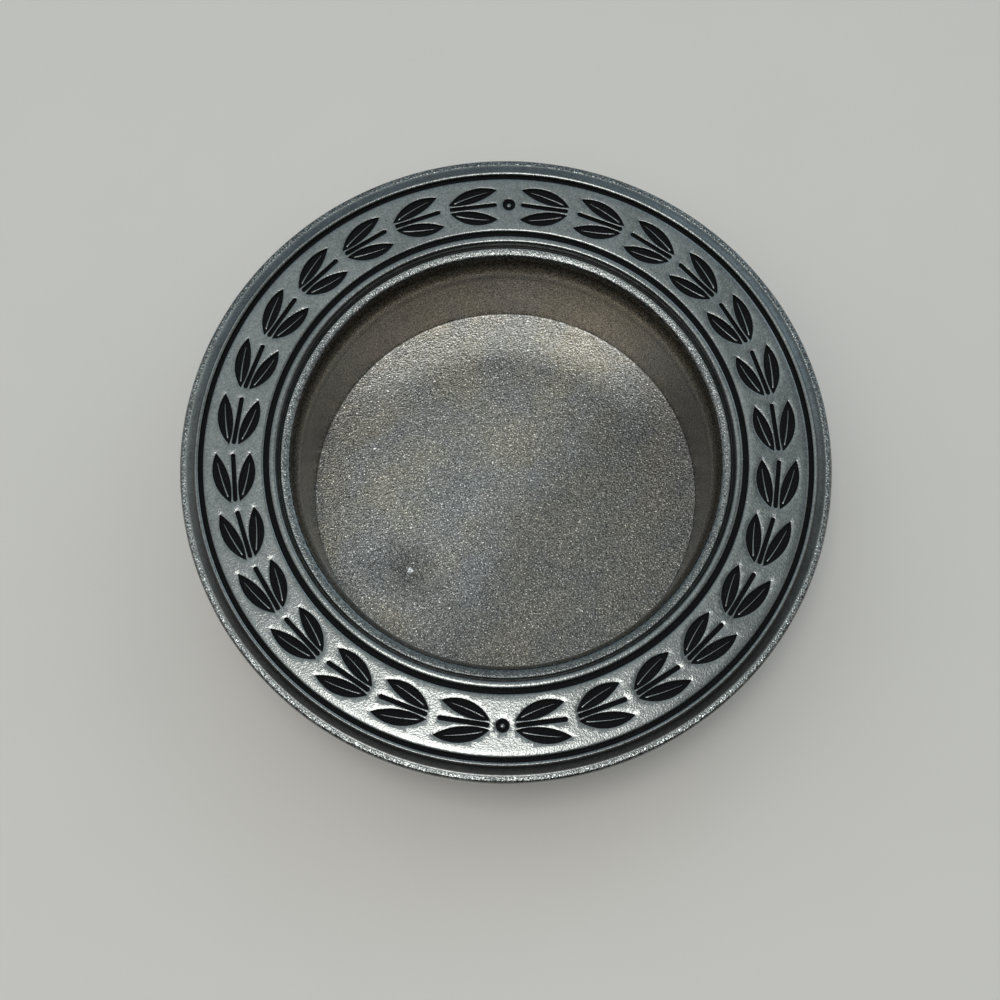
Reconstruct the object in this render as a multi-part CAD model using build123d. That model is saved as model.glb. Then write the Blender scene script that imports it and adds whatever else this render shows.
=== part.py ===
from build123d import *
import os
from math import cos, pi, radians, sin, tan

# Wine bottle coaster: a one-piece cast metal dish with a wide moulded rim.
# The rim carries a flat band between two black lines, with a black laurel wreath let into it.
# A felt disc is glued into a shallow recess under the base.
# Millimetres, +Z up, origin on the table under the centre of the dish. The near side is -Y.

# Well that the bottle stands in
well_floor_radius = 49.3
well_depth = 32.3
wall_draft = 2.6
wall_thickness = 3.2
base_thickness = 4.4
base_corner_radius = 3.0

# Rolled lip at the mouth of the well, above a flare that opens like a bell
flare_height = 6.0
flare_width = 1.5
lip_radius = 1.35
lip_drop = 1.6
lip_outer_angle = 26.0

# Rim mouldings, as widths from the lip outwards
valley_width = 0.88
bead_width = 1.4
bead_round = 0.6
inner_line_width = 1.57
band_width = 14.15
outer_line_width = 1.33
ridge_width = 0.6
cove_width = 2.5
crest_width = 0.42
edge_radius = 1.0

# Rim heights, measured from the flat of the band
line_depth = 1.2
ridge_rise = 0.4
crest_drop = 0.75
flange_thickness = 3.6
flange_fillet_radius = 4.0
edge_chamfer = 0.9

# Black fill in the lines and the wreath, and its clearance from the recess walls
fill_depth = 0.5
fill_clearance = 0.02

# Laurel wreath: two branches of sprigs that rise from a near berry to a far one
sprigs_per_branch = 14
wreath_depth = 1.2
wreath_margin = 3.0
stem_width = 0.9
stem_gap = 0.7
leaf_gap = 2.6
leaf_outer_bulge = 2.2
leaf_inner_bulge = 1.3
berry_radius = 1.5
berry_gap = 1.6

# Felt under the base
felt_radius = 44.0
felt_clearance = 0.3
felt_proud = 1.0
felt_recess_depth = 1.0

# Facets of the round mouldings and of the wreath
flare_facets = 2
lip_facets = 4
cove_facets = 2
edge_facets = 3
fillet_facets = 2
leaf_facets = 3
berry_facets = 10

# Levels
foot_z = felt_proud
felt_top_z = foot_z + felt_recess_depth
floor_z = foot_z + base_thickness
band_z = floor_z + well_depth
flange_z = band_z - flange_thickness
line_floor_z = band_z - line_depth
wreath_floor_z = band_z - wreath_depth
lip_centre_z = band_z - lip_drop - lip_radius
flare_foot_z = lip_centre_z - flare_height
ridge_z = band_z + ridge_rise
crest_z = band_z - crest_drop

# Radii, from the well outwards
draft_slope = tan(radians(wall_draft))
flare_foot_radius = well_floor_radius + (flare_foot_z - floor_z) * draft_slope
lip_centre_radius = flare_foot_radius + flare_width + lip_radius
valley_radius = lip_centre_radius + lip_radius * cos(radians(lip_outer_angle))
bead_inner_radius = valley_radius + valley_width
bead_outer_radius = bead_inner_radius + bead_width
band_inner_radius = bead_outer_radius + inner_line_width
band_outer_radius = band_inner_radius + band_width
ridge_inner_radius = band_outer_radius + outer_line_width
ridge_outer_radius = ridge_inner_radius + ridge_width
crest_inner_radius = ridge_outer_radius + cove_width
crest_outer_radius = crest_inner_radius + crest_width
rim_radius = crest_outer_radius + edge_radius
felt_recess_radius = felt_radius + felt_clearance

# Wreath layout, worked out along the line of the stem
stem_radius = (band_inner_radius + band_outer_radius) / 2
berry_angle = (berry_radius + berry_gap) / stem_radius
branch_angle = pi - 2 * berry_angle
leaf_gap_angle = leaf_gap / stem_radius
sprig_angle = (branch_angle + leaf_gap_angle) / sprigs_per_branch
leaf_run_angle = sprig_angle - leaf_gap_angle
near_angle = -pi / 2
far_angle = pi / 2
leaf_base_offset = stem_width / 2 + stem_gap
leaf_tip_offset = band_width / 2 - wreath_margin


def wall_outer_radius(height):
    """Radius of the outside of the wall, which drafts out from the foot as the well does."""
    return well_floor_radius + wall_thickness + (height - foot_z) * draft_slope


def round_points(centre, radius_across, radius_up, start, end, facets):
    """Points on a round moulding in section, from one angle in degrees to another."""
    angles = [radians(start + (end - start) * step / facets) for step in range(facets + 1)]
    return [(centre[0] + radius_across * cos(a), centre[1] + radius_up * sin(a)) for a in angles]


def dish_section():
    """Half section of the casting: the top from the axis out to the edge, then the underside back."""
    flare_shares = [step / flare_facets for step in range(flare_facets)]
    flare = [
        (flare_foot_radius + flare_width * share**2, flare_foot_z + flare_height * share)
        for share in flare_shares
    ]
    lip = round_points(
        (lip_centre_radius, lip_centre_z), lip_radius, lip_radius, 180, lip_outer_angle, lip_facets
    )
    cove_height = ridge_z - crest_z
    cove = round_points(
        (crest_inner_radius, ridge_z), cove_width, cove_height, 180, 270, cove_facets
    )
    edge = round_points(
        (crest_outer_radius, crest_z - edge_radius), edge_radius, edge_radius, 90, 0, edge_facets
    )
    fillet_z = flange_z - flange_fillet_radius
    fillet_centre = (wall_outer_radius(fillet_z) + flange_fillet_radius, fillet_z)
    flange_fillet = round_points(
        fillet_centre, flange_fillet_radius, flange_fillet_radius, 90, 180, fillet_facets
    )
    corner_z = foot_z + base_corner_radius
    corner_centre = (wall_outer_radius(corner_z) - base_corner_radius, corner_z)
    base_corner = round_points(
        corner_centre, base_corner_radius, base_corner_radius, 0, -90, fillet_facets
    )
    return [
        (0, felt_top_z),
        (0, floor_z),
        (well_floor_radius, floor_z),
        *flare,
        *lip,
        (bead_inner_radius, band_z - bead_round),
        (bead_inner_radius + bead_round, band_z),
        (bead_outer_radius, band_z),
        (bead_outer_radius, line_floor_z),
        (band_inner_radius, line_floor_z),
        (band_inner_radius, band_z),
        (band_outer_radius, band_z),
        (band_outer_radius, line_floor_z),
        (ridge_inner_radius, line_floor_z),
        (ridge_inner_radius, ridge_z),
        *cove,
        *edge,
        (rim_radius, flange_z + edge_chamfer),
        (rim_radius - edge_chamfer, flange_z),
        *flange_fillet,
        *base_corner,
        (felt_recess_radius, foot_z),
        (felt_recess_radius, felt_top_z),
    ]


def turned(section):
    """Solid of revolution from the points of its half section."""
    return revolve(Plane.XZ * make_face(Polyline(*section, close=True)), Axis.Z)


def ring(inner_radius, outer_radius, low_z, high_z):
    """Plain ring, or a disc where the inner radius is nothing."""
    return turned(
        [
            (inner_radius, low_z),
            (outer_radius, low_z),
            (outer_radius, high_z),
            (inner_radius, high_z),
        ]
    )


def line_fill(inner_radius, outer_radius):
    """Black fill on the floor of a line beside the band."""
    return ring(
        inner_radius + fill_clearance,
        outer_radius - fill_clearance,
        line_floor_z,
        line_floor_z + fill_depth,
    )


def polar(radius, angle):
    """Point at a radius and an angle in radians round the axis."""
    return Vector(radius * cos(angle), radius * sin(angle))


def leaf(angle, way, side):
    """Pointed leaf that springs from the stem, outside it for side +1 and inside it for -1.

    Its outer flank, away from the stem, bulges more than its inner one.
    """
    base = polar(stem_radius + side * leaf_base_offset, angle)
    tip = polar(stem_radius + side * leaf_tip_offset, angle + way * leaf_run_angle)
    away = (tip - base).normalized().rotate(Axis.Z, -90 * way * side)
    shares = [step / leaf_facets for step in range(1, leaf_facets)]
    middles = [(base + (tip - base) * share, away * 4 * share * (1 - share)) for share in shares]
    outer_flank = [middle + bulge * leaf_outer_bulge for middle, bulge in middles]
    inner_flank = [middle - bulge * leaf_inner_bulge for middle, bulge in reversed(middles)]
    return make_face(Polyline(base, *outer_flank, tip, *inner_flank, close=True))


def stem(angle, way):
    """Straight stretch of stem between the two leaves of a sprig."""
    end = angle + way * leaf_run_angle
    inner = stem_radius - stem_width / 2
    outer = stem_radius + stem_width / 2
    corners = [polar(inner, angle), polar(outer, angle), polar(outer, end), polar(inner, end)]
    return make_face(Polyline(*corners, close=True))


def sprig(angle, way):
    """Two leaves and the stretch of stem between them."""
    return [leaf(angle, way, 1), leaf(angle, way, -1), stem(angle, way)]


def berry(angle):
    """Berry on the line of the stem."""
    centre = polar(stem_radius, angle)
    return Pos(centre.X, centre.Y) * RegularPolygon(berry_radius, berry_facets)


def wreath_recess(outline):
    """Block that cuts an outline of the wreath into the band, as high as the ridge."""
    return extrude(Pos(0, 0, wreath_floor_z) * outline, wreath_depth + ridge_rise)


def wreath_fill(outlines):
    """Black fill on the floors of some outlines of the wreath."""
    inset = [offset(outline, -fill_clearance, kind=Kind.INTERSECTION) for outline in outlines]
    return Compound(children=[extrude(Pos(0, 0, wreath_floor_z) * face, fill_depth) for face in inset])


wreath = {"near_berry_inlay": [berry(near_angle)], "far_berry_inlay": [berry(far_angle)]}
for branch, way in {"left": -1, "right": 1}.items():
    for number in range(sprigs_per_branch):
        angle = near_angle + way * (berry_angle + number * sprig_angle)
        wreath[f"{branch}_sprig_inlay_{number + 1:02d}"] = sprig(angle, way)

recesses = [wreath_recess(outline) for outlines in wreath.values() for outline in outlines]
parts = {
    "cast_dish": turned(dish_section()) - recesses,
    "inner_line_inlay": line_fill(bead_outer_radius, band_inner_radius),
    "outer_line_inlay": line_fill(band_outer_radius, ridge_inner_radius),
    "base_felt": ring(0, felt_radius, 0, felt_top_z),
}
for name, outlines in wreath.items():
    parts[name] = wreath_fill(outlines)

os.makedirs("parts", exist_ok=True)
for name, part in parts.items():
    part.label = name
    export_step(part, f"parts/{name}.step")
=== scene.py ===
from cmath import exp as turn
from functools import cached_property
from math import atan2, cos, hypot, pi, radians, sin, sqrt, tan
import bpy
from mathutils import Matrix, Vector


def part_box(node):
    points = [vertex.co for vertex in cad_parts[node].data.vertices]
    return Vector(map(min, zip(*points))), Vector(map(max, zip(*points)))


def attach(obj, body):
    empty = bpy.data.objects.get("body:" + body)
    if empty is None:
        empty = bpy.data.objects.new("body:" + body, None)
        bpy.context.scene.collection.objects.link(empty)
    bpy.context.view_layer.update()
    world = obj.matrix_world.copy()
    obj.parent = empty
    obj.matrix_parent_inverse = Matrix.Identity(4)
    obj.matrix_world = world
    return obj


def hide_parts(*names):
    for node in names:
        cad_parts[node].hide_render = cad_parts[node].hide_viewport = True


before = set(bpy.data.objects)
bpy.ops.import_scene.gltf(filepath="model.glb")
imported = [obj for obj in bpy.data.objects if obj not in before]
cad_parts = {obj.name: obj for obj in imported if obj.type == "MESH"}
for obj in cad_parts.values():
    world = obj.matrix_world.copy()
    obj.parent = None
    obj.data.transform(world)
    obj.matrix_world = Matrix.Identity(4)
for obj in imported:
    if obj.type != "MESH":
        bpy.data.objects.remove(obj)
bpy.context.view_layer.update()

from types import SimpleNamespace

import bpy
import numpy as np
from bpy.props import FloatProperty, FloatVectorProperty, IntProperty, PointerProperty
from mathutils import Vector, noise
from mathutils.geometry import delaunay_2d_cdt

# Wine bottle coaster: a one-piece cast dish with a moulded, inlaid rim, and a felt disc under its base.
# Metres, +Z up, origin on the table under the centre of the dish. The near side is -Y.

bl_info = {
    "name": "Wine bottle coaster",
    "version": (1, 0, 0),
    "blender": (4, 5, 0),
    "location": "3D View > Sidebar > Coaster",
    "description": "Cast metal bottle coaster with black laurel inlay, on a plain studio floor",
    "category": "Object",
}

MM = 0.001
SEGMENTS = 320
CAD_FELT_LOW, CAD_FELT_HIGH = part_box("base_felt")
CAD_DISH_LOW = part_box("cast_dish")[0]


# Settings

def length(name, description, default):
    """A length setting, whose default is given in millimetres."""
    return FloatProperty(
        name=name, description=description, default=default * MM, min=0.0, unit="LENGTH", precision=5
    )


def slope(name, description, default):
    """An angle setting, whose default is given in degrees."""
    return FloatProperty(
        name=name, description=description, default=radians(default), min=0.0, max=pi / 2, unit="ROTATION"
    )


def colour(name, description, default):
    """A linear colour setting."""
    return FloatVectorProperty(
        name=name, description=description, default=default, min=0.0, max=1.0, size=3, subtype="COLOR"
    )


class DishSizes(bpy.types.PropertyGroup):
    """Sizes of the casting."""

    well_floor_radius: length("Well floor radius", "Radius of the well's flat floor", 49.3)
    well_depth: length("Well depth", "From the flat of the band down to the well's floor", 32.3)
    wall_draft: slope("Wall draft", "How far the wall leans outwards", 2.6)
    wall_thickness: length("Wall thickness", "Thickness of the well's wall", 3.2)
    base_thickness: length("Base thickness", "From the foot up to the well's floor", 4.4)
    base_corner_radius: length("Base corner radius", "Round between the foot and the wall", 3.0)
    flare_height: length("Flare height", "Height of the flare below the lip", 6.0)
    flare_width: length("Flare width", "How far the flare opens the mouth", 1.5)
    lip_radius: length("Lip radius", "Radius of the rolled lip", 1.35)
    lip_drop: length("Lip drop", "From the flat of the band down to the lip's crest", 1.6)
    lip_outer_angle: slope("Lip outer angle", "Where the lip's round ends on its outer side", 26.0)
    lip_crown_width: length("Lip crown width", "Width of the lip's low crown", 1.75)
    valley_width: length("Valley width", "From the lip to the inner bead", 0.88)
    valley_depth: length("Valley depth", "From the flat of the band down to the valley's bottom", 2.1)
    bead_width: length("Inner bead width", "Width of the bead inside the inner line", 1.4)
    bead_round: length("Inner bead round", "Round of the bead's shoulder over the valley", 0.6)
    inner_line_width: length("Inner line width", "Width of the inner black line", 1.57)
    band_width: length("Band width", "Width of the flat band", 14.15)
    outer_line_width: length("Outer line width", "Width of the outer black line", 1.33)
    ridge_width: length("Ridge width", "Width of the ridge outside the outer line", 0.6)
    ridge_rise: length("Ridge rise", "How far the ridge stands above the band", 0.4)
    cove_width: length("Cove width", "Width of the hollow outside the ridge", 2.68)
    crest_width: length("Crest width", "Width of the flat between the cove and the edge", 0.52)
    crest_drop: length("Crest drop", "From the flat of the band down to the crest", 0.75)
    edge_radius: length("Edge radius", "Round of the rim's edge", 0.72)
    edge_chamfer: length("Edge chamfer", "Slope at the lower corner of the rim's edge", 0.9)
    flange_thickness: length("Flange thickness", "Thickness of the rim", 3.6)
    flange_fillet_radius: length("Flange fillet radius", "Round between the rim and the wall", 4.0)
    line_depth: length("Line depth", "Depth of the two lines beside the band", 1.2)
    felt_recess_depth: length("Felt recess depth", "Depth of the recess under the base", 1.0)
    felt_clearance: length("Felt clearance", "Gap round the felt in its recess", 0.3)
    cast_softness: length("Cast softness", "How far the casting rounds a sharp corner", 0.20)
    edge_allowance: length("Edge allowance", "Stands out at an edge before softening takes it away", 0.20)


class WreathSizes(bpy.types.PropertyGroup):
    """Sizes of the laurel wreath and its black fill."""

    sprigs_per_branch: IntProperty(
        name="Sprigs per branch", description="Pairs of leaves on each branch", default=14, min=3, max=30
    )
    depth: length("Wreath depth", "Depth of the recesses", 1.2)
    margin: length("Wreath margin", "Bare band beyond the leaves' tips", 3.0)
    stem_width: length("Stem width", "Width of the stem", 0.9)
    stem_gap: length("Stem gap", "Metal between the stem and a leaf's base", 0.7)
    leaf_gap: length("Leaf gap", "From a leaf's tip to the next leaf's base", 2.6)
    leaf_outer_bulge: length("Leaf outer bulge", "Bulge of a leaf's flank away from the stem", 2.2)
    leaf_inner_bulge: length("Leaf inner bulge", "Bulge of a leaf's flank towards the stem", 1.3)
    vein_width: length("Vein width", "Width of the metal vein in a leaf, at its foot", 0.66)
    vein_drop: length("Vein drop", "From the flat of the band down to the crest of a vein or boss", 0.3)
    berry_radius: length("Berry radius", "Radius of a berry", 1.5)
    berry_gap: length("Berry gap", "Metal between a berry and the stem", 1.6)
    berry_boss_radius: length("Berry boss radius", "Radius of the metal boss in a berry", 0.75)
    fill_depth: length("Fill depth", "Thickness of the black fill", 0.5)


class CoasterColours(bpy.types.PropertyGroup):
    """Colours of the finishes."""

    metal: colour("Metal", "Rubbed metal of the rim", (0.200, 0.206, 0.200))
    well_floor: colour("Well floor", "Sandy metal of the well's floor", (0.198, 0.198, 0.193))
    well_floor_warm: colour("Well floor, warm", "Warmer patches of the well's floor", (0.215, 0.200, 0.172))
    well_wall: colour("Well wall", "Dull metal of the well's wall", (0.240, 0.209, 0.175))
    nick: colour("Nick", "Bare metal in the small nick of the well's floor", (0.7, 0.7, 0.68))
    underside: colour("Underside", "Unrubbed metal under the rim and the base", (0.09, 0.09, 0.088))
    # Dark of the lines and the valley, also used as painted shade on the cove, lip and crest, and to darken
    # the well's floor
    dark_wash_and_painted_shade: colour("Dark wash", "Dark left in the hollows of the rim", (0.030, 0.030, 0.029))
    fill: colour("Black fill", "Fill of the lines and the wreath", (0.009, 0.009, 0.0095))
    fill_specks: colour("Fill specks", "Specks of grain in the black fill", (0.12, 0.12, 0.115))
    felt: colour("Felt", "Felt under the base", (0.030, 0.085, 0.050))
    table: colour("Floor", "Pale studio floor", (0.785, 0.725, 0.668))


def dish_levels(dish, wreath):
    """Heights, radii and angles that follow from the sizes."""
    at = SimpleNamespace()
    at.foot = CAD_DISH_LOW.z
    at.felt_top = at.foot + dish.felt_recess_depth
    at.floor = at.foot + dish.base_thickness
    at.band = at.floor + dish.well_depth
    at.flange = at.band - dish.flange_thickness
    at.line_floor = at.band - dish.line_depth
    at.wreath_floor = at.band - wreath.depth
    at.lip_centre = at.band - dish.lip_drop - dish.lip_radius
    at.flare_foot = at.lip_centre - dish.flare_height
    at.ridge = at.band + dish.ridge_rise
    at.crest = at.band - dish.crest_drop
    at.draft = tan(dish.wall_draft)
    at.flare_foot_radius = dish.well_floor_radius + (at.flare_foot - at.floor) * at.draft
    at.lip_centre_radius = at.flare_foot_radius + dish.flare_width + dish.lip_radius
    at.valley_radius = at.lip_centre_radius + dish.lip_radius * cos(dish.lip_outer_angle)
    at.bead_inner = at.valley_radius + dish.valley_width
    at.bead_outer = at.bead_inner + dish.bead_width
    at.band_inner = at.bead_outer + dish.inner_line_width
    at.band_outer = at.band_inner + dish.band_width
    at.ridge_inner = at.band_outer + dish.outer_line_width
    at.ridge_outer = at.ridge_inner + dish.ridge_width
    at.crest_inner = at.ridge_outer + dish.cove_width
    at.crest_outer = at.crest_inner + dish.crest_width
    at.rim = at.crest_outer + dish.edge_radius
    at.felt_recess = CAD_FELT_HIGH.x + dish.felt_clearance
    at.stem = (at.band_inner + at.band_outer) / 2
    at.berry_angle = (wreath.berry_radius + wreath.berry_gap) / at.stem
    at.leaf_gap_angle = wreath.leaf_gap / at.stem
    at.sprig_angle = (pi - 2 * at.berry_angle + at.leaf_gap_angle) / wreath.sprigs_per_branch
    at.leaf_run_angle = at.sprig_angle - at.leaf_gap_angle
    at.leaf_base = wreath.stem_width / 2 + wreath.stem_gap
    at.leaf_tip = dish.band_width / 2 - wreath.margin
    return at


# Turned shapes

# Where the lip's roll ends, the slopes of its crown, and where the cove starts, in degrees
LIP_ROLL_END = 125
LIP_CROWN_SLOPES = (15, 4)
COVE_START = 206

# How far the valley's bottom lies in from the bead, as a share of the valley's width
VALLEY_SHARE = 0.75

# Soft edge of the band: (distance in from the edge, drop), in millimetres
BAND_EDGE = [(0.0, 0.22), (0.15, 0.10), (0.35, 0.035), (0.6, 0.0)]

# Ridge with a low inner slope: (distance out from its inner side, drop), in millimetres
RIDGE = [(-0.2, 0.55), (-0.1, 0.2), (0.4, 0.04), (0.55, 0.0), (0.75, 0.1), (0.85, 0.42)]


def moulding(centre, radius, start, end, height=None, steps=40):
    """Points of a moulding in section, from one angle in degrees to another.

    It is round, or oval where it has a height of its own.
    """
    angles = np.radians(np.linspace(start, end, steps + 1))
    up = height or radius
    return [(centre[0] + radius * cos(a), centre[1] + up * sin(a)) for a in angles]


def crown(start, width, slopes, steps=12):
    """Points of a low crown that sets out from a point, from one slope in degrees to another."""
    points = [start]
    for slope_here in np.linspace(*slopes, steps):
        across, up = points[-1]
        points.append((across + width / steps, up + width / steps * tan(radians(slope_here))))
    return points


def bead(inner, outer, low, high, squareness=3.0, steps=40):
    """Points of a bead with a flattish top, from its inner foot to its outer one."""
    angles = np.linspace(pi, 0.0, steps + 1)
    half, middle = (outer - inner) / 2, (inner + outer) / 2
    power = 2 / squareness
    return [
        (middle + half * np.sign(cos(a)) * abs(cos(a)) ** power, low + (high - low) * abs(sin(a)) ** power)
        for a in angles
    ]


def softened(points, reach, spacing=0.04 * MM):
    """A section line with its corners rounded over about the given reach. Its ends stay in place."""
    line = np.array(points)
    along = np.concatenate([[0.0], np.cumsum(np.linalg.norm(np.diff(line, axis=0), axis=1))])
    stations = np.linspace(0.0, along[-1], int(along[-1] / spacing) + 2)
    dense = np.column_stack([np.interp(stations, along, line[:, k]) for k in range(2)])
    half = int(3 * reach / spacing)
    before = 2 * dense[0] - dense[half:0:-1]
    after = 2 * dense[-1] - dense[-2:-half - 2:-1]
    padded = np.concatenate([before, dense, after])
    weights = np.exp(-0.5 * (np.arange(-half, half + 1) * spacing / reach) ** 2)
    weights /= weights.sum()
    return np.column_stack([np.convolve(padded[:, k], weights, "valid") for k in range(2)])


def thinned(line, tolerance):
    """The points that keep a dense line's shape to within the tolerance."""
    kept = {0, len(line) - 1}
    spans = [(0, len(line) - 1)]
    while spans:
        first, last = spans.pop()
        if last - first < 2:
            continue
        chord = line[last] - line[first]
        arm = line[first + 1:last] - line[first]
        span = max(np.hypot(*chord), 1e-12)
        away = np.abs(arm[:, 0] * chord[1] - arm[:, 1] * chord[0]) / span
        worst = int(away.argmax())
        if away[worst] > tolerance:
            middle = first + 1 + worst
            kept.add(middle)
            spans += [(first, middle), (middle, last)]
    return line[sorted(kept)]


def parted(line, longest):
    """The same line with its long stretches divided."""
    rows = [line[0]]
    for start, end in zip(line[:-1], line[1:]):
        count = max(1, int(np.ceil(np.hypot(*(end - start)) / longest)))
        rows += [start + (end - start) * k / count for k in range(1, count + 1)]
    return np.array(rows)


def section_rows(section, softness, tolerance, longest):
    """Rows of points along a softened section, close together on its curves."""
    return parted(thinned(softened(section, softness), tolerance), longest)


def add_object(name, data):
    """A new object in the scene."""
    made = bpy.data.objects.new(name, data)
    bpy.context.scene.collection.objects.link(made)
    return made


class Shell:
    """Vertices and faces of one mesh, with each vertex's distance along the section."""

    on_axis = 1e-7

    def __init__(self):
        self.points = []
        self.faces = []
        self.reach = []

    def add_points(self, points, reach=0.0):
        """Adds points that lie at one distance along the section, and returns their numbers."""
        first = len(self.points)
        self.points += points
        self.reach += [reach] * len(points)
        return list(range(first, len(self.points)))

    def add_turned(self, rows, start=0.0):
        """Turns rows of (radius, height) about the axis, and returns the numbers of each row's points."""
        spokes = [2 * pi * s / SEGMENTS for s in range(SEGMENTS)]
        numbers = []
        reach = start
        for k, (radius, height) in enumerate(rows):
            if k:
                reach += hypot(radius - rows[k - 1][0], height - rows[k - 1][1])
            ring = [(0.0, 0.0, height)]
            if radius > self.on_axis:
                ring = [(radius * cos(a), radius * sin(a), height) for a in spokes]
            numbers.append(self.add_points(ring, reach))
        for inner, outer in zip(numbers[:-1], numbers[1:]):
            self.join(inner, outer)
        return numbers

    def join(self, inner, outer):
        """Faces between two rings of points, either of which may be a single point."""
        count = max(len(inner), len(outer))
        for k in range(count):
            after = (k + 1) % count
            corners = [inner[k % len(inner)], outer[k % len(outer)]]
            corners += [outer[after % len(outer)], inner[after % len(inner)]]
            self.faces.append(list(dict.fromkeys(corners)))

    def make(self, name):
        """A mesh object of what was collected."""
        mesh = bpy.data.meshes.new(name)
        mesh.from_pydata(self.points, [], self.faces)
        mesh.polygons.foreach_set("use_smooth", [True] * len(mesh.polygons))
        mesh.update()
        return add_object(name, mesh)


def finished(piece, material, node):
    """Gives a piece its material and slot, and sets it in the place of its CAD node."""
    piece.data.materials.append(material)
    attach(piece, "root")
    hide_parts(node)


def wall_outer_radius(dish, at, height):
    """Radius of the outside of the wall, which drafts out from the foot as the well does."""
    return dish.well_floor_radius + dish.wall_thickness + (height - at.foot) * at.draft


def inner_section(dish, at):
    """Section of the casting's top, from the axis out to where the flat of the band starts."""
    spare = dish.edge_allowance
    flare = [
        (at.flare_foot_radius + dish.flare_width * s ** 2, at.flare_foot + dish.flare_height * s)
        for s in np.linspace(0.0, 1.0, 25)[:-1]
    ]
    lip_roll = moulding((at.lip_centre_radius, at.lip_centre), dish.lip_radius, 180, LIP_ROLL_END)
    lip_crown = crown(lip_roll[-1], dish.lip_crown_width, LIP_CROWN_SLOPES)
    return [
        (0.0, at.floor),
        (dish.well_floor_radius, at.floor),
        *flare,
        *lip_roll,
        *lip_crown[1:],
        (at.bead_inner - dish.valley_width * VALLEY_SHARE, at.band - dish.valley_depth),
        *bead(at.bead_inner - spare, at.bead_outer + spare, at.band - dish.bead_round, at.band),
        (at.bead_outer + spare, at.line_floor),
        (at.band_inner - spare, at.line_floor),
        *[(at.band_inner - spare + run * MM, at.band - drop * MM) for run, drop in BAND_EDGE],
    ]


def outer_section(dish, at):
    """Section from the band's end out over the edge, then back along the underside to the axis."""
    spare = dish.edge_allowance
    cove = moulding((at.crest_inner, at.ridge), dish.cove_width, COVE_START, 270, at.ridge - at.crest)
    edge = moulding((at.crest_outer, at.crest - dish.edge_radius), dish.edge_radius, 90, 0)
    fillet = dish.flange_fillet_radius
    fillet_z = at.flange - fillet
    flange_fillet = moulding((wall_outer_radius(dish, at, fillet_z) + fillet, fillet_z), fillet, 90, 180)
    corner = dish.base_corner_radius
    corner_z = at.foot + corner
    base_corner = moulding((wall_outer_radius(dish, at, corner_z) - corner, corner_z), corner, 0, -90)
    return [
        *[(at.band_outer + spare - run * MM, at.band - drop * MM) for run, drop in reversed(BAND_EDGE)],
        (at.band_outer + spare, at.line_floor),
        (at.ridge_inner - spare, at.line_floor),
        *[(at.ridge_inner + run * MM, at.ridge - drop * MM) for run, drop in RIDGE],
        *cove,
        *edge,
        (at.rim, at.flange + dish.edge_chamfer),
        (at.rim - dish.edge_chamfer, at.flange),
        *flange_fillet,
        *base_corner,
        (at.felt_recess, at.foot),
        (at.felt_recess, at.felt_top),
        (0.0, at.felt_top),
    ]


# Laurel wreath, drawn in the plane of the band as complex numbers

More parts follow.
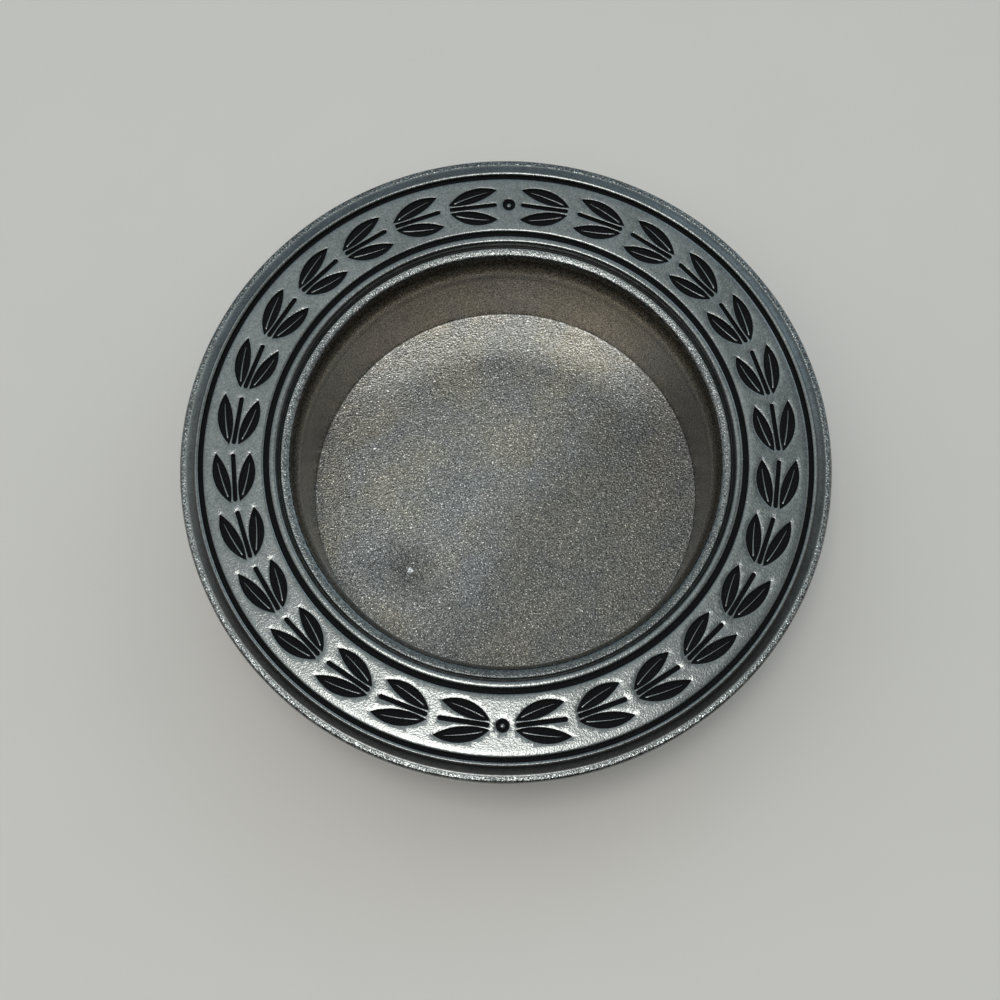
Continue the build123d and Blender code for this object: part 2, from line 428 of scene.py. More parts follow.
class Leaf:
    """Pointed leaf between two arcs, outside the stem for side +1 and inside it for side -1."""

    flank_steps = 16
    tip_steps = 4
    # The vein's ends as shares of the leaf's length, and how much it narrows from one to the other
    vein_start, vein_end = 0.10, 0.84
    vein_taper = 0.65
    vein_steps = 14
    # Rings above the vein's foot: (share of its width, how far its ends draw in, drop below its crest in mm)
    vein_rings = [(0.72, 0.012, 0.16), (0.40, 0.024, 0.03)]

    def __init__(self, at, wreath, angle, way, side):
        base = (at.stem + side * at.leaf_base) * turn(1j * angle)
        tip = (at.stem + side * at.leaf_tip) * turn(1j * (angle + way * at.leaf_run_angle))
        self.middle = (base + tip) / 2
        self.half_length = abs(tip - base) / 2
        self.half_width = (wreath.leaf_outer_bulge + wreath.leaf_inner_bulge) / 2
        self.along = (tip - base) / abs(tip - base)
        self.away = self.along * (-1j * way * side)
        self.outer_radius, self.outer_centre = self.flank(wreath.leaf_outer_bulge, -1)
        self.inner_radius, self.inner_centre = self.flank(wreath.leaf_inner_bulge, 1)

    def flank(self, bulge, sense):
        """Radius of a flank's arc, and the height of its centre above the leaf's chord."""
        radius = (self.half_length ** 2 + bulge ** 2) / (2 * bulge)
        return radius, sense * (radius - bulge)

    def place(self, along, up):
        """Point of the band's plane from a distance along the leaf's chord and one above it."""
        return self.middle + self.along * along + self.away * up

    def outline(self, grow):
        """The leaf's outline, offset outwards by an amount. Its points become round as it grows."""
        inset, spread = min(grow, 0.0), max(grow, 0.0)
        outer, inner = self.outer_radius + inset, self.inner_radius + inset
        low, high = self.outer_centre, self.inner_centre
        up = (outer ** 2 - inner ** 2 - low ** 2 + high ** 2) / (2 * (high - low))
        reach = sqrt(outer ** 2 - (up - low) ** 2)
        over = np.linspace(atan2(up - low, -reach), atan2(up - low, reach), self.flank_steps + 1)
        under = np.linspace(atan2(up - high, reach), atan2(up - high, -reach), self.flank_steps + 1)
        points = self.arc(0.0, low, outer + spread, over)
        if not spread:
            return points + self.arc(0.0, high, inner, under[1:-1])
        points += self.arc(reach, up, spread, self.round_tip(over[-1], under[0]))
        points += self.arc(0.0, high, inner + spread, under)
        points += self.arc(-reach, up, spread, self.round_tip(under[-1], over[0] - 2 * pi))
        return points

    def round_tip(self, start, end):
        """Angles between two flanks, on the round of a tip."""
        return np.linspace(start, end, self.tip_steps + 1)[1:-1]

    def arc(self, along, up, radius, angles):
        """Points at some angles on a circle, whose centre is given along the leaf's chord and above it."""
        return [self.place(along + radius * cos(a), up + radius * sin(a)) for a in angles]

    def vein(self, half_width, inset):
        """Outline of the vein, which follows the leaf's own middle line and narrows to its tip."""
        left, right = [], []
        start, end = self.vein_start + inset, self.vein_end - inset
        for share in np.linspace(0.0, 1.0, self.vein_steps + 1):
            along = self.half_length * (2 * (start + (end - start) * share) - 1)
            over = self.outer_centre + sqrt(self.outer_radius ** 2 - along ** 2)
            under = self.inner_centre - sqrt(self.inner_radius ** 2 - along ** 2)
            width = half_width * (1 - self.vein_taper * share)
            left.append(self.place(along, (over + under) / 2 + width))
            right.append(self.place(along, (over + under) / 2 - width))
        return left + right[::-1]

    def relief(self, wreath, floor, crest):
        """Rings of (points, height) that shape the vein."""
        half = wreath.vein_width / 2
        rings = [(self.vein(half, 0.0), floor)]
        for share, inset, drop in self.vein_rings:
            rings.append((self.vein(half * share, inset), crest - drop * MM))
        return rings

    def holds(self, points, margin):
        """Which points lie inside the leaf or within a margin of it."""
        from_outer = np.abs(points - self.place(0.0, self.outer_centre))
        from_inner = np.abs(points - self.place(0.0, self.inner_centre))
        return (from_outer < self.outer_radius + margin) & (from_inner < self.inner_radius + margin)


class Stem:
    """Straight stretch of stem with round ends."""

    end_steps = 8
    side_shares = (0.25, 0.5, 0.75)

    def __init__(self, at, wreath, angle, way):
        start = at.stem * turn(1j * angle)
        end = at.stem * turn(1j * (angle + way * at.leaf_run_angle))
        self.half_width = wreath.stem_width / 2
        self.along = (end - start) / abs(end - start)
        self.start = start + self.along * self.half_width
        self.end = end - self.along * self.half_width

    def outline(self, grow):
        """The stem's outline, offset outwards by an amount."""
        angles = np.linspace(-pi / 2, pi / 2, self.end_steps + 1)
        arm = self.along * (self.half_width + grow)
        run = self.end - self.start
        points = [self.end + arm * turn(1j * a) for a in angles]
        points += [points[-1] - run * share for share in self.side_shares]
        points += [self.start - arm * turn(1j * a) for a in angles]
        points += [points[-1] + run * share for share in self.side_shares]
        return points

    def relief(self, wreath, floor, crest):
        """A stem is plain."""
        return []

    def holds(self, points, margin):
        """Which points lie inside the stem or within a margin of it."""
        run = abs(self.end - self.start)
        local = (points - self.start) / self.along
        nearest = np.clip(local.real, 0.0, run)
        return np.abs(local - nearest) < self.half_width + margin


class Berry:
    """Round berry on the line of the stem."""

    steps = 32
    # Rings above the boss's foot: (share of its radius, drop below its crest in mm)
    boss_rings = [(0.86, 0.3), (0.5, 0.08)]

    def __init__(self, at, wreath, angle):
        self.centre = at.stem * turn(1j * angle)
        self.half_width = wreath.berry_radius

    def outline(self, grow):
        """The berry's outline, offset outwards by an amount."""
        return self.circle(self.half_width + grow)

    def circle(self, radius):
        """A circle about the berry's middle."""
        return [self.centre + radius * turn(2j * pi * k / self.steps) for k in range(self.steps)]

    def relief(self, wreath, floor, crest):
        """Rings of (points, height) that shape the boss."""
        radius = wreath.berry_boss_radius
        rings = [(self.circle(radius), floor)]
        for share, drop in self.boss_rings:
            rings.append((self.circle(radius * share), crest - drop * MM))
        return rings

    def holds(self, points, margin):
        """Which points lie inside the berry or within a margin of it."""
        return np.abs(points - self.centre) < self.half_width + margin


def wreath_forms(at, wreath):
    """The recess forms of the wreath, grouped by the CAD node of their fill."""
    near, far = -pi / 2, pi / 2
    forms = {
        "near_berry_inlay": [Berry(at, wreath, near)],
        "far_berry_inlay": [Berry(at, wreath, far)],
    }
    for branch, way in {"left": -1, "right": 1}.items():
        for number in range(wreath.sprigs_per_branch):
            angle = near + way * (at.berry_angle + number * at.sprig_angle)
            forms[f"{branch}_sprig_inlay_{number + 1:02d}"] = [
                Leaf(at, wreath, angle, way, 1),
                Leaf(at, wreath, angle, way, -1),
                Stem(at, wreath, angle, way),
            ]
    return forms


def turned_area(outline):
    """Twice the area of an outline, positive where it runs anticlockwise."""
    return sum((a.conjugate() * b).imag for a, b in zip(outline, outline[1:] + outline[:1]))


# Rounded shoulder and drafted wall of a recess: (offset from the outline in mm, share of the depth)
RECESS_STEPS = [
    (0.21, 0.0), (0.13, 0.025), (0.06, 0.09), (0.01, 0.20), (-0.04, 0.42), (-0.075, 0.70), (-0.10, 1.0)
]

# Rows of points over the flat of the band, and how far they keep from a recess
BAND_ROWS = 10
BAND_ROW_GAP = 0.5 * MM


def band_rings(at, wreath, forms):
    """Rings of (points, height) that shape the recesses, veins and berries of the band."""
    rings = []
    for form in forms:
        for grow, share in RECESS_STEPS:
            rings.append((form.outline(grow * MM), at.band - share * wreath.depth))
        rings += form.relief(wreath, at.wreath_floor, at.band - wreath.vein_drop)
    return rings


def add_band(shell, at, wreath, inner_ring, outer_ring, reach):
    """Fills the band between two rings of the shell with one surface that holds the wreath's recesses."""
    forms = [form for group in wreath_forms(at, wreath).values() for form in group]
    known = inner_ring + outer_ring
    sides = [([complex(*shell.points[n][:2]) for n in ring], at.band) for ring in (inner_ring, outer_ring)]
    flat, heights, edges = [], [], []
    for points, height in sides + band_rings(at, wreath, forms):
        first, count = len(flat), len(points)
        flat += points
        heights += [height] * count
        edges += [(first + k, first + (k + 1) % count) for k in range(count)]

    inner_radius, outer_radius = abs(flat[0]), abs(flat[SEGMENTS])
    angles = np.arange(SEGMENTS) * 2 * pi / SEGMENTS
    spokes = np.cos(angles) + 1j * np.sin(angles)
    rows = np.linspace(inner_radius, outer_radius, BAND_ROWS + 2)[1:-1]
    grid = np.concatenate([row * spokes for row in rows])
    for form in forms:
        grid = grid[~form.holds(grid, BAND_ROW_GAP)]
    flat += list(grid)
    heights += [at.band] * len(grid)

    # Worked in millimetres, because the triangulation merges points that are very close.
    plane = [Vector((p.real / MM, p.imag / MM)) for p in flat]
    places, _, triangles, origins, _, _ = delaunay_2d_cdt(plane, edges, [], 0, 1e-6)
    numbers = []
    for place, origin in zip(places, origins):
        source = origin[0]
        if source < len(known):
            numbers.append(known[source])
            continue
        point = (place.x * MM, place.y * MM, heights[source])
        numbers += shell.add_points([point], reach + hypot(*point[:2]) - inner_radius)
    for triangle in triangles:
        centre = sum((places[k] for k in triangle), Vector((0.0, 0.0))) / 3
        if centre.length * MM > inner_radius * cos(pi / SEGMENTS):
            shell.faces.append([numbers[k] for k in triangle])


def hollow_slightly(piece, depth, size, flat_ring=None):
    """Sinks a surface unevenly by up to a depth, in waves of about a size and finer ones.

    A ring between two radii stays as it is, and the unevenness fades in beside it.
    """
    fade = 1.5 * MM
    finer, finer_share = 2.3, 0.4
    mean_share, wave_share = 0.5, 0.36
    normals = [vertex.normal.copy() for vertex in piece.data.vertices]
    for vertex, normal in zip(piece.data.vertices, normals):
        wave = noise.noise(vertex.co / size) + finer_share * noise.noise(vertex.co / size * finer)
        share = 1.0
        if flat_ring:
            radius = hypot(vertex.co.x, vertex.co.y)
            share = min(1.0, max(flat_ring[0] - radius, radius - flat_ring[1], 0.0) / fade)
        vertex.co -= normal * depth * share * (mean_share + wave_share * wave)
    piece.data.update()


def map_turned(piece, reach, split):
    """UV map for baking: the top of a turned piece as a large disc, and its underside as a small one."""
    top_centre, top_radius = (0.4, 0.4), 0.395
    under_centre, under_radius = (0.81, 0.81), 0.18
    furthest = max(reach)
    layer = piece.data.uv_layers.new(name="OFBake")
    for face in piece.data.polygons:
        under = sum(reach[n] for n in face.vertices) > split * len(face.vertices)
        for corner, number in zip(face.loop_indices, face.vertices):
            place = piece.data.vertices[number].co
            spoke = place if hypot(place.x, place.y) > 1e-6 else face.center
            angle = atan2(spoke.y, spoke.x)
            if under:
                out = under_radius * (furthest - reach[number]) / (furthest - split)
                centre = under_centre
            else:
                out = top_radius * reach[number] / split
                centre = top_centre
            layer.data[corner].uv = (centre[0] + out * cos(angle), centre[1] + out * sin(angle))


# Shader maths

def math_operator(operation, swapped=False):
    """A Python operator on values that adds a Math node. Swapped, it is the reflected one."""
    def apply(self, other):
        first, second = (other, self) if swapped else (self, other)
        return self.finish.node("ShaderNodeMath", {"operation": operation}, {0: first, 1: second})
    return apply


class Value:
    """A value in a material, which wraps one socket. Python's operators on it add Math nodes."""

    def __init__(self, finish, socket):
        self.finish = finish
        self.socket = socket

    __add__ = __radd__ = math_operator("ADD")
    __sub__ = math_operator("SUBTRACT")
    __rsub__ = math_operator("SUBTRACT", swapped=True)
    __mul__ = __rmul__ = math_operator("MULTIPLY")
    __truediv__ = math_operator("DIVIDE")
    __rtruediv__ = math_operator("DIVIDE", swapped=True)
    __pow__ = math_operator("POWER")
    __rpow__ = math_operator("POWER", swapped=True)


class Finish:
    """A material or world, and the nodes that make it up."""

    def __init__(self, owner):
        self.owner = owner
        owner.use_nodes = True
        self.tree = owner.node_tree
        self.tree.nodes.clear()

    def node(self, kind, settings, sockets, output=0):
        """Adds a node: its settings first, then the values or links of its sockets. Gives one output."""
        made = self.tree.nodes.new(kind)
        for name, setting in settings.items():
            setattr(made, name, setting)
        for name, value in sockets.items():
            if isinstance(value, Value):
                self.tree.links.new(value.socket, made.inputs[name])
            elif made.inputs[name].type == "RGBA":
                made.inputs[name].default_value = (*value, 1.0)
            else:
                made.inputs[name].default_value = value
        return Value(self, made.outputs[output]) if len(made.outputs) else None

    @cached_property
    def place(self):
        """Place on the piece, in metres."""
        return self.node("ShaderNodeTexCoord", {}, {}, "Object")

    def axes(self, vector):
        """The three parts of a vector."""
        first = self.node("ShaderNodeSeparateXYZ", {}, {"Vector": vector})
        return [Value(self, output) for output in first.socket.node.outputs]

    def speckle(self, size, detail=2.0, roughness=0.5):
        """Cloudy noise from 0 to 1 with features of about a size."""
        sockets = {"Vector": self.place, "Scale": 1 / size, "Detail": detail, "Roughness": roughness}
        return self.node("ShaderNodeTexNoise", {}, sockets, "Fac")

    def cells(self, size):
        """Distance from the middles of cells of about a size."""
        return self.node("ShaderNodeTexVoronoi", {}, {"Vector": self.place, "Scale": 1 / size}, "Distance")

    def step(self, value, start, end):
        """Rises smoothly from 0 to 1 as a value goes from start to end."""
        settings = {"interpolation_type": "SMOOTHSTEP"}
        return self.node("ShaderNodeMapRange", settings, {"Value": value, "From Min": start, "From Max": end})

    def zone(self, value, low, high, soft):
        """1 where a value lies between two limits and 0 elsewhere, with soft sides."""
        return self.step(value, low - soft, low + soft) * self.step(value, high + soft, high - soft)

    def blend(self, share, first, second):
        """Colour that goes from the first to the second as a share goes from 0 to 1."""
        settings = {"data_type": "RGBA", "clamp_factor": True}
        return self.node("ShaderNodeMix", settings, {0: share, 6: first, 7: second}, 2)

    def tinted(self, tone, other):
        """Colour multiplied by another, or by a number."""
        settings = {"data_type": "RGBA", "blend_type": "MULTIPLY"}
        return self.node("ShaderNodeMix", settings, {0: 1.0, 6: tone, 7: other}, 2)

    def raised(self, height):
        """Normal bent by a height in millimetres."""
        return self.node("ShaderNodeBump", {}, {"Strength": 1.0, "Distance": MM, "Height": height}, "Normal")

    def surface(self, **sockets):
        """Joins a Principled surface to the output."""
        named = {name.replace("_", " "): value for name, value in sockets.items()}
        shader = self.node("ShaderNodeBsdfPrincipled", {}, named)
        self.node("ShaderNodeOutputMaterial", {}, {"Surface": shader})
        return self.owner


# Where the small nick in the well's floor lies, across and in depth, in millimetres
NICK_PLACE = (-24.1, -21.8)


def distance(across, depth):
    """Length of a line that runs so far across and so far in depth."""
    return (across * across + depth * depth) ** 0.5


def casting_zones(finish, dish, at, where):
    """Masks of the casting's parts, from a place's distance to the axis and its height."""
    step, zone = finish.step, finish.zone
    radius, height = where.radius, where.height
    floor, band = at.floor / MM, at.band / MM
    lip, valley = (at.lip_centre_radius - dish.lip_radius) / MM, at.valley_radius / MM
    crest_inner, crest_outer = at.crest_inner / MM, at.crest_outer / MM

    in_well = step(radius, lip + 0.4, lip - 0.1) * step(height, floor - 0.6, floor - 0.2)
    above_floor = step(height, floor + 0.03, floor + 0.3)
    in_lines = zone(radius, at.bead_outer / MM, at.ridge_inner / MM, 0.3)
    in_valley = zone(radius, valley - 0.1, valley + 0.75, 0.2) * step(height, band - 1.2, band - 1.8)
    outside = step(height, band - 2.7, band - 3.1) * step(radius, lip + 0.3, lip + 0.5)
    beneath = step(height, floor - 0.6, floor - 1.0) * step(radius, lip + 0.5, lip + 0.3)
    return SimpleNamespace(
        floor=in_well * (1 - above_floor),
        wall=in_well * above_floor,
        lip=zone(radius, lip, valley - 0.3, 0.25) * step(height, band - 4.0, band - 3.2),
        band=zone(radius, at.band_inner / MM, at.band_outer / MM, 0.2),
        sunk=step(height, band - 0.45, band - 0.85) * in_lines + in_valley * 0.85,
        cove=zone(radius, at.ridge_outer / MM + 0.2, crest_inner - 0.55, 0.25),
        crest=zone(radius, crest_inner - 0.2, crest_outer + 0.3, 0.2),
        under=outside + beneath,
    )


def floor_marks(finish, dish, where, clouds, peel, grain):
    """Marks on the well's floor: darker towards the near right, a painted pool of light along the far edge,
    and a nick in a stain.
    """
    step, floor_radius = finish.step, dish.well_floor_radius / MM
    from_nick = distance(where.across - NICK_PLACE[0], where.depth - NICK_PLACE[1])
    return SimpleNamespace(
        # The floor darker towards its near right
        near_right_darkening=step(where.across * 0.8 - where.depth * 0.6 + clouds * 24, 4, 30),
        # Painted light: a brighter crescent along the far edge of the floor
        far_edge_painted_light=step(where.radius, floor_radius - 16, floor_radius - 5) * step(where.depth, 14, 44),
        nick=step(from_nick + grain * 0.8, 1.3, 0.8),
        stain=step(from_nick * 0.75 + clouds * 10 + peel * 5, 16.0, 6.5),
    )


def wall_painted_light_rings(finish, at, height):
    """Painted highlight and shade on the wall: a lighter and a darker ring where it turns into the flare, and
    painted shadow under the lip.
    """
    flare_foot = at.flare_foot / MM
    darker = finish.zone(height, flare_foot - 2.9, flare_foot - 0.9, 0.8)
    lighter = finish.zone(height, flare_foot + 0.3, flare_foot + 2.2, 0.8)
    painted_lip_shadow = finish.step(height, flare_foot + 3.2, flare_foot + 5.2)
    return 1 - darker * 0.34 + lighter * 0.42 - painted_lip_shadow * 0.4


def cast_metal(colours, dish, at):
    """Sand-cast metal: rubbed bright on the rim, sandy in the well, dark in the hollows and underneath."""
    finish = Finish(bpy.data.materials.new("cast_metal_finish"))
    step, speckle = finish.step, finish.speckle
    across, depth, height = [part / MM for part in finish.axes(finish.place)]
    where = SimpleNamespace(across=across, depth=depth, height=height, radius=distance(across, depth))
    on = casting_zones(finish, dish, at, where)
    near_side = step(depth, 20, -60)

    clouds = speckle(12 * MM)
    swells = speckle(5 * MM, 0.0)
    peel = speckle(1.3 * MM)
    grain = speckle(0.42 * MM, 1.0)
    glints = step(speckle(0.36 * MM, 0.0), 0.64, 0.80) + step(speckle(0.7 * MM), 0.64, 0.78)
    pits = step(finish.cells(1.7 * MM), 0.16, 0.05) * step(speckle(4 * MM), 0.56, 0.64) * on.band
    marks = floor_marks(finish, dish, where, clouds, peel, grain)

    # Each part's own metal with painted light on the wall and the floor's far edge, then the dark in its
    # hollows, painted shade and the marks over it, then its grain and painted glints
    # Painted highlight and shade in rings on the wall, and painted shadow under the lip
    wall_tone_with_painted_light = finish.tinted(colours.well_wall, wall_painted_light_rings(finish, at, height))
    sandy = finish.blend(step(clouds, 0.3, 0.7), colours.well_floor, colours.well_floor_warm)
    tone = finish.blend(on.wall, colours.metal, wall_tone_with_painted_light)
    # Painted light: the floor brighter along its far edge
    tone = finish.blend(on.floor, tone, finish.tinted(sandy, 1 + marks.far_edge_painted_light * 1.7))
    tone = finish.blend(on.under, tone, colours.underside)
    # Dark in the lines and the valley, and painted shade: the cove darker, most on the near side, the lip
    # darker on the near side and towards the near right, and the crest darker away from the near side; the
    # pits are darker too
    hollows_and_painted_shade = (
        on.sunk * 0.95
        + on.cove * (0.4 + near_side * 0.55)
        + on.lip * (near_side * 0.25 + marks.near_right_darkening * 0.2)
        + on.crest * (1 - near_side) * 0.38
        + pits * 0.5
    )
    tone = finish.blend(hollows_and_painted_shade, tone, colours.dark_wash_and_painted_shade)
    # The floor darker towards its near right, and a stain round the nick
    tone = finish.blend(on.floor * (marks.near_right_darkening * 0.46 + marks.stain * 0.6), tone, colours.dark_wash_and_painted_shade)
    tone = finish.blend(on.floor * marks.nick, tone, colours.nick)
    speckled = 0.5 + on.floor * 0.6 + on.wall * 1.6 + on.lip * (1 - near_side * 0.6) + on.crest * 2.0
    # Painted glints in the colour of the floor and the crest, strongest on the near crest
    painted_glints = glints * (on.floor * 3.0 + on.crest * (0.5 + near_side * 2.0))
    tone = finish.tinted(tone, (grain * 2) ** speckled + painted_glints)
    tone = finish.tinted(tone, 0.5 + clouds * 0.45 + peel * 0.55)

    grainy = 0.04 + on.floor * 0.2 + on.wall * 0.05 + on.lip * 0.08 + on.crest * 0.12
    bump = swells * 0.035 + peel * (0.006 + on.floor * 0.10) + grain * grainy - pits * 0.05
    gloss = 0.20 + on.floor * 0.18 + on.wall * 0.03 + on.crest * 0.03 + on.under * 0.2 + on.sunk * 0.2
    gloss = gloss + on.cove * near_side * 0.3 + clouds * 0.05
    return finish.surface(Base_Color=tone, Metallic=1.0, Roughness=gloss, Normal=finish.raised(bump))


def black_fill(colours):
    """Matt black fill, with specks of the casting's grain showing through."""
    finish = Finish(bpy.data.materials.new("black_fill_finish"))
    grain = finish.speckle(0.5 * MM, 3.0, 0.65)
    clouds = finish.speckle(5 * MM)
    specks = finish.step(finish.cells(0.5 * MM), 0.22, 0.08) * finish.step(clouds, 0.35, 0.65)
    tone = finish.blend(specks * 0.5, colours.fill, colours.fill_specks)
    gloss = 0.72 + clouds * 0.1 + grain * 0.1
    return finish.surface(
        Base_Color=tone, Roughness=gloss, Normal=finish.raised(grain * 0.12), Specular_IOR_Level=0.04
    )


def felt_cloth(colours):
    """Pressed wool felt: matted fibres in slightly different shades."""
    finish = Finish(bpy.data.materials.new("felt_finish"))
    tangle = finish.speckle(0.35 * MM, 4.0, 0.7)
    tufts = finish.speckle(2.2 * MM, 3.0, 0.6)
    strands = finish.node(
        "ShaderNodeTexWave",
        {"wave_type": "BANDS"},
        {"Vector": finish.place, "Scale": 420.0, "Distortion": 28.0, "Detail": 3.0, "Detail Scale": 2.4},
        "Fac",
    )
    light = tuple(min(1.0, c * 1.9 + 0.012) for c in colours.felt)
    dark = tuple(c * 0.55 for c in colours.felt)
    tone = finish.blend(tangle * 0.6 + strands * 0.25 + tufts * 0.25 - 0.05, dark, light)
    height = tangle * 0.18 + strands * 0.08 + tufts * 0.10
    return finish.surface(
        Base_Color=tone,
        Roughness=0.88 + tufts * 0.1,
        Normal=finish.raised(height),
        Specular_IOR_Level=0.2,
        Sheen_Weight=0.35,
        Sheen_Roughness=0.5,
    )


# Operators

def coaster_settings(context):
    """The scene's sizes and colours, and the levels that follow from them."""
    scene = context.scene
    return SimpleNamespace(
        dish=scene.coaster_dish,
        wreath=scene.coaster_wreath,
        colours=scene.coaster_colours,
        at=dish_levels(scene.coaster_dish, scene.coaster_wreath),
    )


class COASTER_OT_cast_dish(bpy.types.Operator):
    """Make the casting: well, lip, mouldings, inlaid band and underside in one closed mesh"""

    bl_idname = "coaster.cast_dish"
    bl_label = "Cast dish"
    row_tolerance = 0.008 * MM
    longest_row = 3.0 * MM
    unevenness = 0.07 * MM
    wave_size = 7 * MM

    def execute(self, context):
        use = coaster_settings(context)
        dish, at = use.dish, use.at
        inner_rows, outer_rows = [
            section_rows(section, dish.cast_softness, self.row_tolerance, self.longest_row)
            for section in (inner_section(dish, at), outer_section(dish, at))
        ]
        shell = Shell()
        inner_numbers = shell.add_turned(inner_rows)
        reach = shell.reach[-1]
        band_run = outer_rows[0][0] - inner_rows[-1][0]
        outer_numbers = shell.add_turned(outer_rows, reach + band_run)
        split = shell.reach[outer_numbers[int(outer_rows[:, 0].argmax())][0]]
        add_band(shell, at, use.wreath, inner_numbers[-1], outer_numbers[0], reach)
        piece = shell.make("cast_dish_metal")
        map_turned(piece, shell.reach, split)
        hollow_slightly(piece, self.unevenness, self.wave_size, (at.band_inner, at.band_outer))
        finished(piece, cast_metal(use.colours, dish, at), "cast_dish")
        return {"FINISHED"}


def finish_fill(shell, node, colours):
    """Makes a piece of black fill of what a shell holds, in the place of its CAD node."""
    sharp_angle = radians(50)
    material = bpy.data.materials.get("black_fill_finish") or black_fill(colours)
    piece = shell.make(node.replace("inlay", "fill"))
    piece.data.set_sharp_from_angle(angle=sharp_angle)
    finished(piece, material, node)


class COASTER_OT_line_fills(bpy.types.Operator):
    """Make the black fill of the two lines beside the band"""

    bl_idname = "coaster.line_fills"
    bl_label = "Line fills"
    overlap = 0.03 * MM
    climb = 0.10 * MM
    rows_across = 9

    def execute(self, context):
        use = coaster_settings(context)
        at = use.at
        low, high = at.line_floor, at.line_floor + use.wreath.fill_depth
        finish_fill(self.ring(at.bead_outer, at.band_inner, low, high), "inner_line_inlay", use.colours)
        finish_fill(self.ring(at.band_outer, at.ridge_inner, low, high), "outer_line_inlay", use.colours)
        return {"FINISHED"}

    def ring(self, line_inner, line_outer, low, high):
        """Ring of fill that climbs a little at the walls of its line."""
        inner, outer = line_inner - self.overlap, line_outer + self.overlap
        across = np.linspace(0.0, 1.0, self.rows_across)
        top = [(inner + (outer - inner) * s, high + self.climb * (2 * s - 1) ** 4) for s in across]
        shell = Shell()
        rows = shell.add_turned([*top, (outer, low), (inner, low)])
        shell.join(rows[-1], rows[0])
        return shell


class COASTER_OT_wreath_fills(bpy.types.Operator):
    """Make the black fill of the wreath, one piece for each sprig and berry"""

    bl_idname = "coaster.wreath_fills"
    bl_label = "Wreath fills"
    # Rings of a fill's top: (offset from the outline, height above the fill's own level), in millimetres
    rings = [(-0.03, 0.09), (-0.20, 0.02), (-0.42, 0.0)]
    # The furthest that a ring draws in, as a share of half its form's width
    furthest_inset = 0.8

    def execute(self, context):
        use = coaster_settings(context)
        low, high = use.at.wreath_floor, use.at.wreath_floor + use.wreath.fill_depth
        for node, forms in wreath_forms(use.at, use.wreath).items():
            shell = Shell()
            for form in forms:
                self.add_fill(shell, form, low, high)
            finish_fill(shell, node, use.colours)
        return {"FINISHED"}

    def add_fill(self, shell, form, low, high):
        """Closed plug of fill on a recess's floor."""
        levels = [(self.rings[0][0], low)] + [(grow, high + rise * MM) for grow, rise in self.rings]
        numbers = []
        for grow, height in levels:
            outline = form.outline(max(grow * MM, -self.furthest_inset * form.half_width))
            if turned_area(outline) < 0:
                outline = outline[::-1]
            numbers.append(shell.add_points([(p.real, p.imag, height) for p in outline]))
        for lower, upper in zip(numbers[:-1], numbers[1:]):
            shell.join(upper, lower)
        shell.faces.append(numbers[-1])
        shell.faces.append(numbers[0][::-1])


class COASTER_OT_base_felt(bpy.types.Operator):
    """Make the felt disc that is glued into the recess under the base"""

    bl_idname = "coaster.base_felt"
    bl_label = "Base felt"
    edge_softness = 0.22 * MM
    row_tolerance = 0.006 * MM
    longest_row = 1.2 * MM
    unevenness = 0.16 * MM
    wave_size = 1.6 * MM

    def execute(self, context):
        radius, low, high = CAD_FELT_HIGH.x, CAD_FELT_LOW.z, CAD_FELT_HIGH.z
        section = [(0.0, high), (radius, high), (radius, low), (0.0, low)]
        shell = Shell()
        shell.add_turned(section_rows(section, self.edge_softness, self.row_tolerance, self.longest_row))
        felt = shell.make("base_felt_disc")
        map_turned(felt, shell.reach, radius + (high - low) / 2)
        hollow_slightly(felt, self.unevenness, self.wave_size)
        finished(felt, felt_cloth(context.scene.coaster_colours), "base_felt")
        return {"FINISHED"}


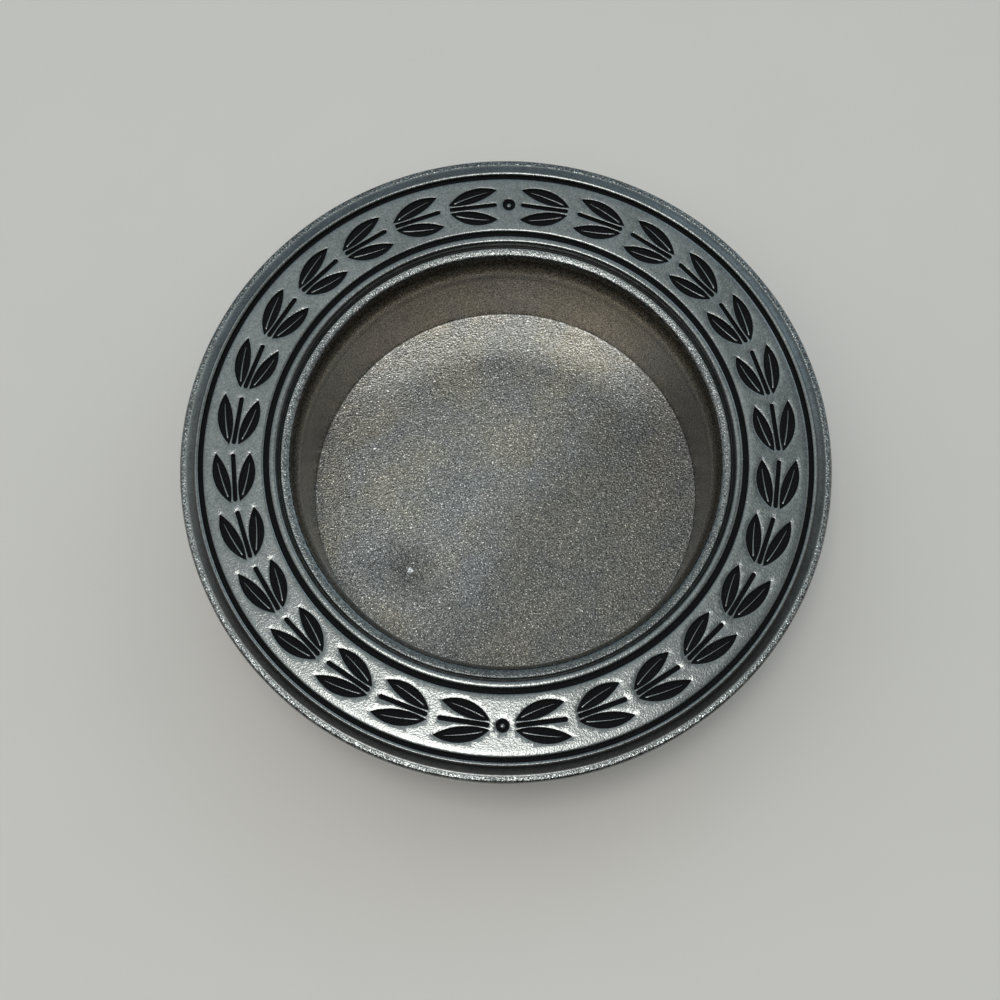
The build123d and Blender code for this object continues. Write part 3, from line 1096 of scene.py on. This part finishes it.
class COASTER_OT_stage(bpy.types.Operator):
    """Make the floor, the lights and the camera"""

    bl_idname = "coaster.stage"
    bl_label = "Stage"
    floor_size = 12.0
    # The lamp faces straight down.
    lamp_place = (-0.086, -0.115, 1.15)
    lamp_size = (0.32, 0.36)
    lamp_power = 2.85
    lamp_tone = (1.0, 0.985, 0.95)
    # Light of the studio round the coaster. Two colours are those of its left and of its right.
    sides = ((0.66, 0.67, 0.67), (0.53, 0.55, 0.55))
    back = ((0.42, 0.53, 0.61), (0.82, 1.05, 1.20))
    front = (0.06, 0.06, 0.055)
    ceiling = ((0.82, 0.92, 0.95), (0.29, 0.335, 0.35))
    # The camera stands this far from the middle of the band, at this many degrees above the horizon.
    camera_distance = 0.3594
    camera_elevation = 72.19
    # How far its aim lies from the middle of the band, to the right and up in the picture
    aim_right = -0.00127
    aim_up = -0.0115
    lens = 54.0

    def execute(self, context):
        use = coaster_settings(context)
        self.add_floor(use.colours)
        self.add_lamp()
        self.add_world(context)
        self.add_camera(context, use.at)
        context.scene.view_settings.view_transform = "Standard"
        return {"FINISHED"}

    def add_floor(self, colours):
        """Large plain floor with a faint mottle."""
        half = self.floor_size / 2
        mesh = bpy.data.meshes.new("studio_floor")
        corners = [(-half, -half, 0.0), (half, -half, 0.0), (half, half, 0.0), (-half, half, 0.0)]
        mesh.from_pydata(corners, [], [(0, 1, 2, 3)])
        finish = Finish(bpy.data.materials.new("studio_floor"))
        mottle = finish.speckle(30 * MM, 3.0)
        tone = finish.blend(mottle, tuple(c * 0.97 for c in colours.table), colours.table)
        mesh.materials.append(finish.surface(Base_Color=tone, Roughness=0.6))
        floor = add_object("studio_floor", mesh)

    def add_lamp(self):
        """One soft lamp overhead."""
        light = bpy.data.lights.new("overhead", "AREA")
        light.shape = "RECTANGLE"
        light.size, light.size_y = self.lamp_size
        light.energy = self.lamp_power
        light.color = self.lamp_tone
        add_object("overhead", light).location = self.lamp_place

    def add_world(self, context):
        """A plain studio, dark in front. To the right, its back is brighter and its ceiling dimmer."""
        world = bpy.data.worlds.new("studio")
        context.scene.world = world
        finish = Finish(world)
        direction = finish.node("ShaderNodeTexCoord", {}, {}, "Generated")
        across, depth, height = finish.axes(direction)
        sides = finish.blend(finish.step(across, -0.5, 0.5), *self.sides)
        back = finish.blend(finish.step(across, 0.05, 0.55), *self.back)
        around = finish.blend(finish.step(depth, 0.15, 0.6), sides, back)
        around = finish.blend(finish.step(depth, -0.5, 0.1), self.front, around)
        ceiling = finish.blend(finish.step(across, 0.0, 0.35), *self.ceiling)
        tone = finish.blend(finish.step(height, 0.68, 0.88), around, ceiling)
        shade = finish.node("ShaderNodeBackground", {}, {"Color": tone, "Strength": 1.0})
        finish.node("ShaderNodeOutputWorld", {}, {"Surface": shade})

    def add_camera(self, context, at):
        """Camera that looks down over the near side of the rim."""
        camera = add_object("camera", bpy.data.cameras.new("camera"))
        camera.data.sensor_width = 36.0
        camera.data.lens = self.lens
        camera.data.clip_start = 0.01
        tilt = radians(self.camera_elevation)
        back = Vector((0.0, -cos(tilt), sin(tilt)))
        up = Vector((0.0, sin(tilt), cos(tilt)))
        centre = Vector((0.0, 0.0, at.band))
        aim = centre + Vector((self.aim_right, 0.0, 0.0)) + up * self.aim_up
        camera.location = centre + back * self.camera_distance
        camera.rotation_euler = (aim - camera.location).to_track_quat("-Z", "Y").to_euler()
        context.scene.camera = camera


class COASTER_PT_panel(bpy.types.Panel):
    """Coaster's pieces, sizes and colours"""

    bl_idname = "COASTER_PT_panel"
    bl_label = "Wine bottle coaster"
    bl_space_type = "VIEW_3D"
    bl_region_type = "UI"
    bl_category = "Coaster"

    def draw(self, context):
        for operator in OPERATORS:
            self.layout.operator(operator.bl_idname)
        for name, group in GROUPS.items():
            box = self.layout.box()
            for setting in group.__annotations__:
                box.prop(getattr(context.scene, name), setting)


OPERATORS = (
    COASTER_OT_cast_dish,
    COASTER_OT_line_fills,
    COASTER_OT_wreath_fills,
    COASTER_OT_base_felt,
    COASTER_OT_stage,
)
GROUPS = {"coaster_dish": DishSizes, "coaster_wreath": WreathSizes, "coaster_colours": CoasterColours}


def register():
    """Adds the coaster's settings, operators and panel to Blender."""
    for name, group in GROUPS.items():
        bpy.utils.register_class(group)
        setattr(bpy.types.Scene, name, PointerProperty(type=group))
    for operator in OPERATORS:
        bpy.utils.register_class(operator)
    bpy.utils.register_class(COASTER_PT_panel)


def unregister():
    """Takes them out again."""
    bpy.utils.unregister_class(COASTER_PT_panel)
    for operator in reversed(OPERATORS):
        bpy.utils.unregister_class(operator)
    for name, group in reversed(GROUPS.items()):
        delattr(bpy.types.Scene, name)
        bpy.utils.unregister_class(group)


def main():
    """Makes the coaster on its stage."""
    register()
    bpy.ops.coaster.cast_dish()
    bpy.ops.coaster.line_fills()
    bpy.ops.coaster.wreath_fills()
    bpy.ops.coaster.base_felt()
    bpy.ops.coaster.stage()


if __name__ == "__main__":
    main()
